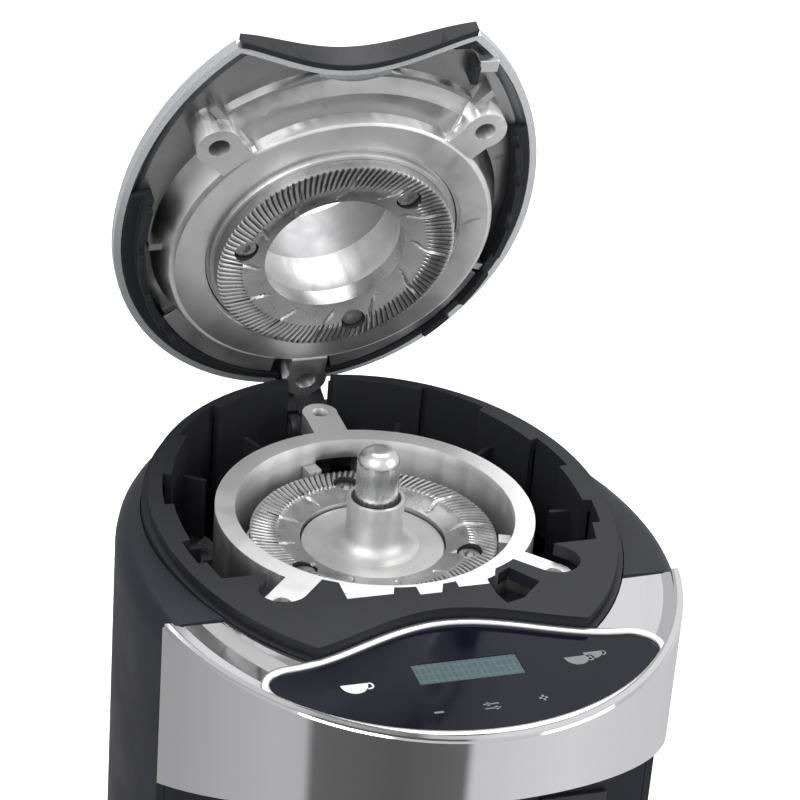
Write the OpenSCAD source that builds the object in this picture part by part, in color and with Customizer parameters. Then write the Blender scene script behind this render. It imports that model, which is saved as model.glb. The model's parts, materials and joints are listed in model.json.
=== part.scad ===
// Burr coffee grinder with its lid open, in millimetres.
// +Z is up and -Y is the front. The origin is on the worktop, under the middle of the whole object.

/* [Body] */
// Height of the grinding chamber's top face above the worktop
ring_z = 356; // [350:1:370]
// Half of the body's width
body_a = 90; // [89:0.5:93]
// Reach of the body in front of its widest line
body_bf = 110; // [109:0.5:112]
// Reach of the body behind its widest line
body_br = 124; // [123:0.5:127]
// Distance of the spindle axis behind the origin
spindle_y = 52; // [45:0.5:60]
// Thickness of the body's sheet and moulded walls
wall = 2.5; // [2:0.1:2.6]
// Height of the base's top face above the worktop
base_top = 34; // [32:1:36]

/* [Head] */
// Where the black housing ends and the chrome front begins
front_y = -57; // [-58:0.5:-56.5]
// Height of the front cover at its back edge
cover_h = 58; // [56:1:60]
// Slope of the front cover's lower edge, in degrees
cover_slope = 25; // [24:0.5:26]
// How far the deck falls from the front to the back
deck_drop = 11.4; // [11:0.1:14]

/* [Burrs] */
// Outer radius of the flat burrs
burr_r = 41.5; // [41:0.1:41.5]
// Depth of the lower burr's face below the chamber's top
lower_face = 9; // [8.8:0.1:9.4]
// Depth of the upper burr's face below the lid's lugs, wound fully up
upper_face = 5.7; // [5.4:0.1:5.7]

/* [Lid] */
// How far the lid stands open, in degrees
lid_angle = 71.6; // [65:0.1:71.6]
// Distance of the hinge axis behind the spindle axis
hinge_y = 78; // [78:0.1:78.4]
// Depth of the hinge axis below the chamber's top
hinge_drop = 12; // [11.8:0.1:12.2]

/* [Controls] */
// Height of the portafilter fork above the worktop
fork_z = 207; // [200:1:209]
// Height of the dose button above the worktop
button_z = 252; // [250:1:256]
// Angle of the mains rocker from its middle, in degrees
rocker_tilt = 12; // [8:0.5:12]

/* [Hidden] */
body_cy = -26;
collar_cy = -4;
collar_a = 76;
collar_bf = 98;
collar_br = 88;
collar_in = [68, 98, 84];
chamber_r = 53.5;
chamber_bore = 46.9;
chamber_floor = -35;
chamber_base = -42;
lug_r = 67;
lug_angles = [90, 227, 313];
plate_z = -54;
shaft_r = 8;
running_gap = 0.04;
can_r = 52;
can_z = -190;
post_xy = [[66, -24], [-66, -24], [50, 54], [-50, 54]];
ear_angles = [35, 145, 215, 325];
ear_r = 60;
eye_half = 57;
eye_mid = -73.3;
eye_fall = 15.7;
eye_arc = 80;
eye_arc_y = -50.3;
eye_round = 8;
lid_a = 74;
lid_bf = 94;
lid_br = 83;
carrier_r = 43.9;
throat_r = 25.4;
neck_r = 30;
neck_screw_r = 47.6;
neck_screw_angles = [30:60:330];
spout_y = -85;
pin_r = 2.5;
rocker_at = [58, -53, 256];
foot_xy = [[70, -185], [-70, -185], [56, 46], [-56, 46]];
screw_xy = [[80, -110], [-80, -110], [80, 10], [-80, 10]];

$fn = 64;
black = "#23252c";
dark_plastic = "#2b2d33";
cast_metal = "#b9bab8";
steel = "#c6c8ca";

// ---------------------------------------------------------------- outlines

// An egg-shaped outline: half-width a, reaches bf in front of and br behind the line y = cy
function oval(a, bf, br, cy, n = 96) =
    [for (i = [0:n - 1]) let (t = i * 360 / n) [a * cos(t), cy + (sin(t) > 0 ? br : bf) * sin(t)]];

// Back edge of the touch panel: a raised bump between two low shoulders
function eye_top(x) = eye_mid - eye_fall * (1 - cos(180 * min(abs(x), eye_half) / eye_half)) / 2;

module body_outline(d = 0) polygon(oval(body_a - d, body_bf - d, body_br - d, body_cy));

module collar_outline(d = 0)
    polygon(oval(collar_a + d, collar_bf + d, collar_br + d, collar_cy));

module lid_outline(d = 0) polygon(oval(lid_a + d, lid_bf + d, lid_br + d, collar_cy));

// Everything in front of the touch panel's back edge, moved back by d
module notch_area(d)
    polygon(concat([for (x = [-66:3:66]) [x, eye_top(x) + d]], [[66, -160], [-66, -160]]));

module eye_area(d = 0)
    offset(delta = d) offset(r = eye_round) offset(delta = -eye_round) intersection() {
        notch_area(0);
        translate([0, eye_arc_y]) circle(r = eye_arc);
    }

module in_front(y = front_y) translate([-200, y - 300]) square([400, 300]);
module behind(y = front_y) translate([-200, y]) square([400, 300]);

// ---------------------------------------------------------------- helpers

// Places a piece that is drawn from the spindle axis: from the worktop, or from the chamber's top
module ground() translate([0, spindle_y, 0]) children();
module head(z = 0) translate([0, spindle_y, ring_z + z]) children();

module slab(z0, z1) translate([0, 0, z0]) linear_extrude(z1 - z0) children();

module box(x0, x1, y0, y1, z0, z1) translate([x0, y0, z0]) cube([x1 - x0, y1 - y0, z1 - z0]);

module rod(r, z0, z1) translate([0, 0, z0]) cylinder(r = r, h = z1 - z0);

module tube(r1, r0, z0, z1) difference() {
    rod(r1, z0, z1);
    rod(r0, z0 - 1, z1 + 1);
}

module rod_y(r, y0, y1) translate([0, y1, 0]) rotate([90, 0, 0]) cylinder(r = r, h = y1 - y0);

module rod_x(r, x0, x1) translate([x0, 0, 0]) rotate([0, 90, 0]) cylinder(r = r, h = x1 - x0);

// Puts a lid piece, drawn shut, where it stands with the lid open
module opened() head() translate([0, hinge_y, -hinge_drop]) rotate([-lid_angle, 0, 0])
    translate([0, -hinge_y, hinge_drop]) children();

// A solid through rows of points; each row is one closed cross-section
module skin(rows, closed = false) {
    m = len(rows);
    n = len(rows[0]);
    last = closed ? m - 1 : m - 2;
    sides = [for (i = [0:last], j = [0:n - 1])
        [i * n + j, i * n + (j + 1) % n, ((i + 1) % m) * n + (j + 1) % n, ((i + 1) % m) * n + j]];
    caps = closed ? [] : [[for (j = [n - 1:-1:0]) j], [for (j = [0:n - 1]) (m - 1) * n + j]];
    polyhedron([for (r = rows) for (p = r) p], concat(sides, caps), convexity = 8);
}

module cap_screw(r, head_h, shank, length) {
    difference() {
        rod(r, 0, head_h);
        translate([0, 0, head_h * 0.4]) cylinder(r = r * 0.55, h = head_h, $fn = 6);
    }
    rod(shank, -length, 0.01);
}

// Height of the deck's surface above the chamber's top, at a place along Y
function deck_h(y) = 1.4 - deck_drop * pow(max(0, y - front_y) / (body_cy + body_br - front_y), 1.5);

// ---------------------------------------------------------------- base

module base_area(d = 0) {
    front = -224 + d;
    side = body_a + 5 - d;
    corner = 34 - d;
    rear = oval(side, side, body_br + 5 - d, body_cy);
    half = len(rear) / 2;
    polygon(concat([for (i = [0:half]) rear[i]],
        [for (t = [180:6:270]) [-side + corner + corner * cos(t), front + corner + corner * sin(t)]],
        [for (t = [270:6:360]) [side - corner + corner * cos(t), front + corner + corner * sin(t)]]));
}

module base_plate() color(black) ground() difference() {
    union() {
        difference() {
            slab(14, base_top) base_area();
            slab(13, base_top - 6) base_area(5);
        }
        for (p = screw_xy) translate(p) rod(6, 16, base_top - 5);
    }
    for (p = screw_xy) translate(p) rod(2.1, 13, base_top - 10);
}

module bottom_cover() color("silver") ground() difference() {
    slab(14, 16) base_area(5.3);
    for (p = screw_xy) translate(p) rod(2.4, 13, 17);
}

module rubber_feet() color("#17181a") ground() for (p = foot_xy) translate(p)
    rotate_extrude() polygon([[0, 0], [12, 0], [14, 2], [13, 14], [0, 14]]);

module base_screws() color(steel) ground() for (p = screw_xy) translate([p[0], p[1], 14])
    mirror([0, 0, 1]) cap_screw(4, 2.4, 2, 9);

module drip_tray() color(steel) ground() difference() {
    slab(base_top + 0.4, base_top + 17) offset(r = 14) offset(delta = -14)
        translate([-78, -214]) square([156, 152]);
    slab(base_top + 2.4, base_top + 20) offset(r = 12) offset(delta = -12)
        translate([-76, -212]) square([152, 148]);
}

// ---------------------------------------------------------------- housing

wall_steps = 60;

// One point of the housing: inset d from the body's outline, dz above the deck's surface
function sweep_t(i, bf, cy) = let (t0 = asin((front_y - cy) / bf)) t0 + i / wall_steps * (180 - 2 * t0);
function egg_at(t, a, bf, br, cy) = [a * cos(t), cy + (sin(t) > 0 ? br : bf) * sin(t)];
function wall_xy(i, d) =
    egg_at(sweep_t(i, body_bf - d, body_cy), body_a - d, body_bf - d, body_br - d, body_cy);
function seat_xy(i) = let (g = 2.4)
    egg_at(sweep_t(i, collar_bf + g, collar_cy), collar_a + g, collar_bf + g, collar_br + g, collar_cy);
function lift(p, dz) = [p[0], p[1], ring_z + deck_h(p[1]) + dz];
function foot_of(p) = [p[0], p[1], base_top];

function housing_row(i) = [
    foot_of(wall_xy(i, 0)), lift(wall_xy(i, 0), -8), lift(wall_xy(i, 0.6), -4.8), lift(wall_xy(i, 2), -2.2),
    lift(wall_xy(i, 4), -0.6), lift(wall_xy(i, 6.2), 0), lift(seat_xy(i), 0.3),
    lift(seat_xy(i), -wall), lift(wall_xy(i, 6.2), -wall), lift(wall_xy(i, wall + 1.2), -5.4),
    lift(wall_xy(i, wall), -10), foot_of(wall_xy(i, wall))];

module housing() color(black) ground() difference() {
    skin([for (i = [0:wall_steps]) housing_row(i)]);
    box(-36, 36, 60, 130, 150, 235);
    box(-16.5, 16.5, 60, 130, 47.5, 74.5);
    box(-8.2, 8.2, 60, 94, ring_z - 26, ring_z + 10);
}

module front_panel() color(black) ground() difference() {
    half = (body_a - wall) * cos(asin((front_y - body_cy) / (body_bf - wall))) - 0.2;
    box(-half, half, front_y, front_y + wall, base_top, ring_z - cover_h);
    translate([0, 0, button_z]) rod_y(3, -70, -40);
    translate([rocker_at[0], 0, rocker_at[2]]) box(-9.9, 9.9, -70, -40, -13.9, 13.9);
}

module rear_grille() color(dark_plastic) ground() difference() {
    slab(144, 241) intersection() {
        difference() {
            body_outline(wall + 0.1);
            body_outline(wall + 2.6);
        }
        translate([-41, 40]) square([82, 80]);
    }
    for (z = [152:9:227]) box(-33, 33, 50, 130, z, z + 5);
}

module power_inlet() color(dark_plastic) ground() translate([0, 0, 61]) difference() {
    union() {
        box(-16, 16, 95, 98, -13, 13);
        box(-13.5, 13.5, 74, 95, -10.5, 10.5);
    }
    difference() {
        box(-11.5, 11.5, 78, 100, -8, 8);
        for (x = [-7, 0, 7]) box(x - 2, x + 2, 77, 93, -2.5, 2.5);
    }
}

// ---------------------------------------------------------------- head

// Half space above the front cover's sloping lower edge, raised by d
module above_slope(d = 0) head() translate([0, front_y, d - cover_h]) rotate([-cover_slope, 0, 0])
    translate([-150, -200, 0]) cube([300, 210, 160]);

module front_cover() color("#d9dadb") intersection() {
    above_slope();
    head() difference() {
        union() {
            slab(-cover_h, 1) intersection() {
                difference() {
                    body_outline();
                    body_outline(wall);
                }
                in_front();
            }
            slab(-1.5, 1) intersection() {
                body_outline();
                in_front();
            }
            slab(1, 2.2) intersection() {
                difference() {
                    body_outline(0.6);
                    body_outline(3);
                }
                in_front();
            }
            slab(1, 2) intersection() {
                difference() {
                    eye_area(2.4);
                    eye_area();
                }
                body_outline(0.6);
            }
        }
        slab(-3, 4) difference() {
            collar_outline(2.4);
            notch_area(2.9);
        }
        slab(-3, 4) eye_area(0.2);
    }
}

module head_floor() color(black) intersection() {
    above_slope();
    difference() {
        head() slab(-cover_h, 0) intersection() {
            body_outline(wall + 0.2);
            in_front();
        }
        above_slope(2.5);
        head() translate([0, spout_y, 0]) rod(15.4, -90, 0);
    }
}

module touch_panel() color("#14161f") head() difference() {
    slab(-2.2, 1.1) eye_area();
    slab(-3, 4) translate([-17, -103]) square([34, 10.8]);
}

module lcd_module() color("#5f8a8c") head() {
    box(-16.9, 16.9, -102.9, -92.3, -7, 0.9);
    box(-20, 20, -106, -89, -7, -2.4);
}

module cup(s = 1) scale(s) {
    intersection() {
        translate([0, 4]) circle(r = 6.4);
        translate([-5, -4]) square([10, 6.6]);
    }
    difference() {
        translate([5.4, 0.4]) circle(r = 2.2);
        translate([5.4, 0.4]) circle(r = 1.3);
        translate([0, 4]) circle(r = 6.4);
    }
}

module panel_symbols() color("#e9ebee") head() slab(1.1, 1.3) {
    translate([-38, -100]) cup();
    translate([38, -99]) cup();
    translate([31, -100]) cup(0.8);
    translate([-16, -118]) square([3.6, 1], center = true);
    translate([17, -117]) square([3.4, 1], center = true);
    translate([17, -117]) square([1, 3.4], center = true);
    translate([0, -118]) difference() {
        circle(r = 2.6);
        circle(r = 1.7);
    }
}

module control_board() color("#2f5b3a") head() {
    box(-40, 40, -115, -84, -9.4, -7.8);
    for (x = [-34, -6, 22]) box(x, x + 12, -112, -104, -12, -9.4);
}

// ---------------------------------------------------------------- collar

collar_ribs = [-4, 37, 66, 114, 143, 184];
// Middle and half-width of each recess in the collar's inner edge, in degrees
collar_recess = [[-20, 7], [14, 8], [52, 9], [128, 9], [166, 8], [200, 7]];

module pie(angle, half, r) polygon([[0, 0], [r * cos(angle - half), r * sin(angle - half)],
    [r * cos(angle + half), r * sin(angle + half)]]);

module collar_opening(d = 0) {
    intersection() {
        polygon(oval(collar_in[0] + d, collar_in[1] + d, collar_in[2] + d, collar_cy));
        behind(-40);
    }
    intersection() {
        polygon(oval(collar_in[0] + 3 + d, collar_in[1], collar_in[2] + 3 + d, collar_cy));
        union() for (c = collar_recess) pie(c[0], c[1], 120);
        behind(-30);
    }
    circle(r = chamber_r + 3 + d);
    if (d == 0) {
        for (a = [227, 313]) rotate(a) {
            translate([lug_r, 0]) circle(r = 8.2);
            translate([40, -8.2]) square([lug_r - 40, 16.4]);
        }
        translate([-27.5, -59]) square([16.5, 20]);
        translate([9.5, -59]) square([15, 20]);
        translate([-4, -61]) square([9, 12]);
        polygon([[20, -57], [29, -51], [36, -61], [32, -65], [28, -69], [21.5, -71], [20, -65.5]]);
    }
}

module collar() color(black) head() difference() {
    union() {
        slab(2, 5.5) difference() {
            collar_outline();
            collar_opening();
        }
        slab(-10, 2) difference() {
            collar_outline(2);
            collar_outline(-2);
        }
        slab(-30, 2) intersection() {
            difference() {
                collar_opening(2.2);
                collar_opening();
            }
            behind(-38);
        }
        for (a = collar_ribs) rotate(a) box(61, 69, -0.8, 0.8, -28, -5);
        slab(1, 2) difference() {
            collar_outline(2);
            collar_opening(2.2);
            collar_opening();
        }
    }
    slab(-40, 10) notch_area(3.2);
    box(-8.2, 8.2, 66, 100, -40, 10);
    slab(-40, 1) difference() {
        translate([-90, -120]) square([180, 82]);
        collar_outline(-2);
    }
}

// ---------------------------------------------------------------- grinding chamber

module lug_arm(r, w, tip, z0, z1) {
    translate([lug_r, 0, 0]) rod(tip, z0, z1);
    box(r, lug_r, -w, w, z0, z1);
}

module chamber() color(cast_metal) head() difference() {
    union() {
        rod(chamber_r, chamber_base, 0);
        for (a = lug_angles) rotate(a) lug_arm(chamber_r - 2, 6, 6.2, -8, 0);
        box(-26, -12.5, -56.5, -48, -8, 0);
        box(11, 23, -56.5, -48, -8, 0);
        for (a = ear_angles) rotate(a) {
            translate([ear_r, 0, 0]) rod(6.5, chamber_base, -37);
            box(50, ear_r, -6.5, 6.5, chamber_base, -37);
        }
    }
    rod(chamber_bore, chamber_floor, 1);
    rod(14, -50, 0);
    for (a = lug_angles) rotate(a) translate([lug_r, 0, 0]) rod(3, -9, 1);
    for (a = ear_angles) rotate(a) translate([ear_r, 0, 0]) rod(2.6, -50, -30);
    box(-13.5, 13.5, -60, -40, -31.5, -16.5);
    box(-7, 8, 40, 60, -17, -7);
}

module shaft_seal() color("#3a3a3a") head() tube(13.9, 8.5, -41.8, -35.4);

module chamber_bolts() color(steel) head() for (a = ear_angles) rotate(a)
    translate([ear_r, 0, -37]) cap_screw(4.2, 4, 2.5, 14);

module grounds_chute() color(dark_plastic) head() difference() {
    box(-16, 16, -100, -53.8, -34, -14);
    box(-13.5, 13.5, -97.5, -50, -31.5, -16.5);
    translate([0, spout_y, 0]) rod(11.5, -40, -20);
    translate([0, 0, -45]) rod(chamber_r + 0.2, 0, 60);
}

module outlet_spout() color(steel) head() difference() {
    translate([0, spout_y, 0]) union() {
        rod(15, -37, -34);
        rod(13.8, -72, -37);
    }
    translate([0, spout_y, 0]) rod(11.5, -80, -30);
}

// ---------------------------------------------------------------- motor

module motor_plate() color(cast_metal) head() difference() {
    union() {
        intersection() {
            rod(68, plate_z, chamber_base);
            box(-80, 80, front_y + 3, 80, -60, -40);
        }
        for (p = post_xy) translate(p) rod(10, plate_z, chamber_base);
        box(-14, 14, 60, 90, plate_z, chamber_base);
    }
    rod(17.02, plate_z - 1, plate_z + 10);
    rod(11, -60, -40);
    for (a = ear_angles) rotate(a) translate([ear_r, 0, 0]) rod(2.6, -60, -40);
    for (p = post_xy) translate(p) rod(3.1, -60, -40);
}

module motor_posts() color(steel) ground() for (p = post_xy) translate(p) difference() {
    rod(6, base_top, ring_z + plate_z);
    rod(3.1, ring_z + plate_z - 14, ring_z + plate_z + 1);
}

module motor_bolts() color(steel) head() for (p = post_xy) translate([p[0], p[1], chamber_base])
    cap_screw(5, 4, 3, 22);

module motor_can() color("#8d9094") head() difference() {
    tube(can_r, can_r - 2.9, can_z, plate_z);
    for (a = [0:30:330], z = [-184, -74]) rotate(a) box(45, 57, -5, 5, z, z + 12);
}

module stator_core() color("#6f7276") head() difference() {
    tube(can_r - 3, 30.8, -160, -92);
    for (a = [7.5:15:359]) rotate(a) box(33, 44, -1.4, 1.4, -161, -91);
}

module stator_windings() color("#b06a2c") head() for (z = [-166.5, -85.5]) translate([0, 0, z])
    rotate_extrude() translate([39.5, 0]) circle(r = 6);

module lower_bell() color(cast_metal) head() difference() {
    rod(can_r, can_z - 10, can_z);
    rod(14.02, can_z - 11, can_z + 1);
    for (a = [0:45:315]) rotate(a) translate([33, 0, 0]) rod(8, can_z - 11, can_z + 1);
}

module bearing(r1, z0, z1) {
    tube(r1, r1 - 2.2, z0, z1);
    tube(shaft_r + 2.2, shaft_r + running_gap, z0, z1);
    tube(r1 - 2.2, shaft_r + 2.2, z0 + 1, z1 - 1);
}

module upper_bearing() color(steel) head() bearing(17, plate_z, plate_z + 10);

module lower_bearing() color(steel) head() bearing(14, can_z - 10, can_z);

module motor_rotor() color("#777a7e") head() tube(30, shaft_r + 0.01, -160, -92);

module shaft() color(steel) head() {
    rod(shaft_r, can_z - 27, -29.5);
    rod(7, -29.5, 0);
}

module cooling_fan() color(dark_plastic) head() difference() {
    union() {
        rod(44, -207, -204.5);
        rod(16, -216, -204.5);
        for (a = [0:40:320]) rotate(a) box(14, 43, -1, 1, -216, -206);
    }
    rod(shaft_r + 0.01, -220, -200);
}

module power_board() color("#2f5b3a") ground() {
    box(-46, 46, -34, 40, 46, 47.6);
    for (x = [-40, 40], y = [-28, 34]) translate([x, y, 0]) rod(3, base_top, 46);
    box(-30, 0, -20, 12, 47.6, 74);
    box(12, 34, -24, 0, 47.6, 66);
    for (x = [14, 24, 34]) translate([x, 22, 0]) rod(4, 47.6, 62);
}

module capacitor() color("silver") ground() translate([-25, 53, 0]) rod(11, base_top, 104);

// ---------------------------------------------------------------- spindle and lower burr

sweeper_angles = [-18, 102, 222];
lower_screws = [90, 210, 330];
upper_screws = [71, 191, 311];
burr_in = 24.6;

module burr_carrier() color(cast_metal) head() difference() {
    union() {
        rotate_extrude() polygon(concat([[0, -27], [43.5, -27], [43.5, -lower_face - 9],
            [24.3, -lower_face - 9], [24.3, -13.4], [23.9, -13]],
            [for (t = [0:15:90]) [15.6 - 6 * sin(t), -7 - 6 * cos(t)]], [[9.6, 5], [0, 5]]));
        for (a = sweeper_angles) rotate(a) box(41.9, 46.2, -2.5, 2.5, -27, -8);
        for (a = sweeper_angles) rotate(a) box(40, 46.2, -2.5, 2.5, -33, -27);
    }
    rod(7.05, -40, 0);
    rod(8.4, -1, 6);
    rod(shaft_r + 0.3, -40, -26.9);
    for (a = lower_screws) rotate(a) translate([33, 0, 0]) rod(1.6, -30, -10);
}

// A burr ring drawn with its cutting face at z = 0 and its body above it
module burr_ring(screws) difference() {
    rotate_extrude() polygon([[burr_in, 2.4], [31, 0.5], [33.5, 0], [burr_r, 0], [burr_r, 9], [burr_in, 9]]);
    for (a = screws) rotate(a) translate([33, 0, 0]) {
        rod(2.1, -1, 10);
        rod(4, -1, 4);
    }
}

module burr_screw_set(screws) for (a = screws) rotate(a) translate([33, 0, 4]) mirror([0, 0, 1])
    cap_screw(3.6, 2.2, 1.5, 8);

module lower_burr() color("#a9abad") head(-lower_face) mirror([0, 0, 1]) burr_ring(lower_screws);

module lower_burr_screws() color(steel) head(-lower_face) mirror([0, 0, 1]) burr_screw_set(lower_screws);

module spindle_tip() color(steel) head() rotate_extrude()
    polygon(concat([[0, 0], [7.2, 0]], [for (t = [0:15:90]) [2 + 5.2 * cos(t), 18 + 5.2 * sin(t)]],
        [[0, 23.2]]));

// ---------------------------------------------------------------- lid

dial_hole = 53;
// Rows of the lid's metal skin: inset from the lid's outline, height, how far it is a round hole, and
// inset from the concave front edge
lid_rows = [[0, 11, 0, 0], [0, 14.5, 0, 0], [0.5, 15.8, 0, 0], [1.6, 16.9, 0, 0], [4, 18.2, 0, 0.2],
    [8, 20.6, 0.05, 0.8], [13, 23.8, 0.3, 3], [17, 26.2, 0.7, 6], [21, 28.4, 1, 9], [21, 26, 1, 9],
    [17, 24, 0.7, 6.8], [13, 21.4, 0.3, 4.8], [8.6, 18.4, 0.05, 3], [5, 16.4, 0, 2.4], [3.2, 15, 0, 2.2],
    [2.6, 13.6, 0, 2.2], [2.5, 11, 0, 2.2]];

// One row, which also stays behind the touch panel's back edge
function lid_ring(d, z, k, f) = [for (i = [0:95]) let (t = i * 3.75,
    p = egg_at(t, lid_a - d, lid_bf - d, lid_br - d, collar_cy), q = dial_hole * [cos(t), sin(t)],
    y = p[1] < -40 ? max(p[1], eye_top(p[0]) + 3.4 + f) : p[1])
    [p[0] + k * (q[0] - p[0]), y + k * (q[1] - y), z]];

module lid_cover() color("#c9cbce") opened()
    skin([for (r = lid_rows) lid_ring(r[0], r[1], r[2], r[3])], closed = true);

module lid_casting() color(cast_metal) opened() difference() {
    union() {
        rotate_extrude() polygon([[44, 0.3], [55, 0.3], [56.6, 1.4], [61, 12.6], [61, 15.5], [44, 15.5]]);
        tube(51, carrier_r + 0.4, 15, 24);
        slab(12.5, 15.5) difference() {
            lid_outline(-6);
            circle(r = 50);
            notch_area(6.6);
        }
        for (a = lug_angles) rotate(a) lug_arm(56, 6.5, 7.6, 0.3, 13);
        rotate([0, 0, 232]) rotate_extrude(angle = 76)
            polygon([[56, 3], [59.5, 3], [69, 9], [70.5, 9], [70.5, 13], [57, 13]]);
        intersection() {
            for (a = [232, 308]) rotate(a) box(58, 90, -1.4, 1.4, 4, 13);
            slab(0, 20) lid_outline(-9);
        }
        box(-3.2, 3.2, 56, 74.7, 0.3, 13);
        for (a = [20, 150, 180]) rotate(a) box(58, 63, -1.4, 1.4, 6, 13);
    }
    rod(carrier_r + 0.4, -1, 30);
    tube(45.6, 43, -1, 1.2);
    slab(-1, 30) notch_area(5.6);
    slab(-1, 6) difference() {
        translate([-100, -160]) square([200, 120.6]);
        circle(r = chamber_r + 2.4);
        for (a = [227, 313]) rotate(a) {
            translate([lug_r, 0]) circle(r = 7.7);
            translate([40, -7.7]) square([lug_r - 40, 15.4]);
        }
    }
    for (a = neck_screw_angles) rotate(a) translate([neck_screw_r, 0, 0]) rod(1.6, 15, 30);
    for (a = lug_angles) rotate(a) translate([lug_r, 0, 0]) rod(3.6, -1, 10);
}

liner_teeth = [[-26, 5], [-10, 6], [8, 6], [28, 7], [46, 5], [134, 5], [152, 7], [172, 6], [190, 6], [206, 5]];

module liner_area() difference() {
    polygon(oval(66.8, 90, 76, collar_cy));
    polygon(oval(64.3, 87.5, 73.5, collar_cy));
}

// Cross-section of the strip that closes the lid's concave front edge, taller towards the middle
function strip_row(x) = let (y = eye_top(x), top = 20.2 - 5 * pow(x / 40, 2))
    [[x, y + 3.2, 10.5], [x, y + 0.8, 10.5], [x, y + 0.8, top], [x, y + 3.2, top]];

// The liner leaves the front corners of the lid's metal bare, and has the strip as its own piece
module lid_liner() color(dark_plastic) opened() {
    difference() {
        union() {
            slab(6.4, 12.3) liner_area();
            slab(10.4, 12.3) difference() {
                lid_outline(-2.8);
                polygon(oval(66, 89, 75, collar_cy));
            }
            slab(4, 6.5) intersection() {
                liner_area();
                union() for (c = liner_teeth) pie(c[0], c[1], 120);
            }
        }
        slab(-5, 30) polygon([[-100, -16], [100, -46], [100, -160], [-100, -160]]);
        for (a = lug_angles) rotate(a) {
            translate([lug_r, 0, 0]) rod(8.2, -5, 30);
            box(50, lug_r, -7, 7, -5, 30);
        }
        box(-8, 8, 60, 90, -5, 30);
    }
    skin([for (x = [-40:2.5:40]) strip_row(x)]);
}

module hopper_neck() color(dark_plastic) opened() difference() {
    union() {
        tube(51, neck_r, 24, 26.5);
        tube(34, neck_r, 26, 46);
    }
    for (a = neck_screw_angles) rotate(a) translate([neck_screw_r, 0, 0]) {
        rod(1.6, 20, 30);
        rod(2.7, 24.8, 30);
    }
}

module lid_screws() color(steel) opened() for (a = neck_screw_angles) rotate(a)
    translate([neck_screw_r, 0, 24.8]) cap_screw(2.5, 1.5, 1.4, 7);

module hinge_arm() color(black) opened() difference() {
    union() {
        translate([0, hinge_y, -hinge_drop]) rod_x(5, -3.2, 3.2);
        box(-3.2, 3.2, 74.7, hinge_y + 1, -hinge_drop, 10.5);
        box(-7.6, 7.6, 74.9, hinge_y + 1, -6.3, 10.3);
    }
    translate([0, hinge_y, -hinge_drop]) rod_x(pin_r + 0.05, -10, 10);
}

module upper_carrier() color("#b4b5b3") opened() difference() {
    union() {
        rod(carrier_r, 2, 20.5);
        rod(42.8, -1, 2.1);
    }
    rod(throat_r, -10, 30);
    rod(burr_r + 0.1, -10, 9 - upper_face);
    for (a = upper_screws) rotate(a) translate([33, 0, 0]) rod(1.55, -10, 12);
}

module upper_burr() color("#a9abad") opened() translate([0, 0, -upper_face]) burr_ring(upper_screws);

module upper_burr_screws() color(steel) opened() translate([0, 0, -upper_face])
    burr_screw_set(upper_screws);

module grind_dial() color(dark_plastic) opened() difference() {
    union() {
        rod(52, 27, 31.5);
        rod(44, 31, 39);
    }
    rod(34.4, 20, 50);
    for (a = [0:10:350]) rotate(a) translate([45.6, 0, 0]) rod(3, 31.6, 50);
}

// ---------------------------------------------------------------- hinge on the body

module hinge_bracket() color(black) head() difference() {
    union() {
        for (x = [-7.8, 3.5]) {
            translate([0, hinge_y, -hinge_drop]) rod_x(5, x, x + 4.3);
            box(x, x + 4.3, hinge_y - 5, hinge_y + 5, -20, -hinge_drop);
        }
        box(-7.8, 7.8, hinge_y - 5, hinge_y + 9, -24, -19);
        box(-7.8, 7.8, hinge_y - 3, hinge_y + 8, chamber_base, -23);
    }
    translate([0, hinge_y, -hinge_drop]) rod_x(pin_r + 0.02, -20, 20);
}

module hinge_pin() color(steel) head() translate([0, hinge_y, -hinge_drop]) rod_x(pin_r, -7.8, 7.8);

// ---------------------------------------------------------------- fork, button, rocker

module fork_rail() color(steel) ground() {
    box(-16, 16, front_y - 4, front_y, 156, 238);
    box(-8, 8, front_y - 9, front_y - 3.9, 160, 234);
}

module fork_holder() color(black) ground() difference() {
    box(-20, 20, -80, front_y - 4.3, fork_z - 21, fork_z + 9);
    box(-8.3, 8.3, front_y - 9.3, -50, fork_z - 30, fork_z + 20);
    translate([0, -73, fork_z]) rod_x(4.02, -30, 30);
    translate([0, -73, fork_z - 13]) rod_x(3.06, 8, 30);
}

module portafilter_fork() color(steel) ground() {
    translate([0, -73, fork_z]) rod_x(4, -33, 33);
    for (x = [-29, 29]) translate([x, 0, fork_z]) difference() {
        rod_y(4, -131, -74);
        rod_y(5, -76, -50);
    }
    for (x = [-29, 29]) translate([x, 0, fork_z]) intersection() {
        rod_y(4, -77, -73);
        box(-4, 4, -77, -75.9, -5, 5);
    }
}

module fork_sleeves() color("#1b1c1e") ground() for (x = [-29, 29]) translate([x, 0, fork_z]) difference() {
    rod_y(5.6, -134, -92);
    rod_y(4.02, -131.02, -60);
}

module fork_knob() color(black) ground() translate([0, -73, fork_z - 13]) {
    difference() {
        rod_x(8, 20.4, 31);
        for (a = [0:30:330]) rotate([a, 0, 0]) translate([0, 0, 8.8]) rod_x(1.6, 19, 33);
    }
    rod_x(3, 10, 20.5);
}

module dose_button() color("#3b3d42") ground() translate([0, 0, button_z]) {
    rod_y(9, -81, -71);
    rod_y(3, -71.1, -66);
}

module dose_switch() color(dark_plastic) ground() translate([0, 0, button_z]) difference() {
    box(-14, 14, -75, front_y, -12, 12);
    rod_y(9.4, -80, -65.5);
    rod_y(3.6, -80, -61);
}

module rocker_frame() color(dark_plastic) ground() translate([rocker_at[0], 0, rocker_at[2]]) difference() {
    union() {
        box(-12, 12, -59, front_y, -16, 16);
        box(-9.7, 9.7, front_y - 0.1, -40, -13.7, 13.7);
    }
    box(-7, 7, -70, -42, -11, 11);
}

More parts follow.
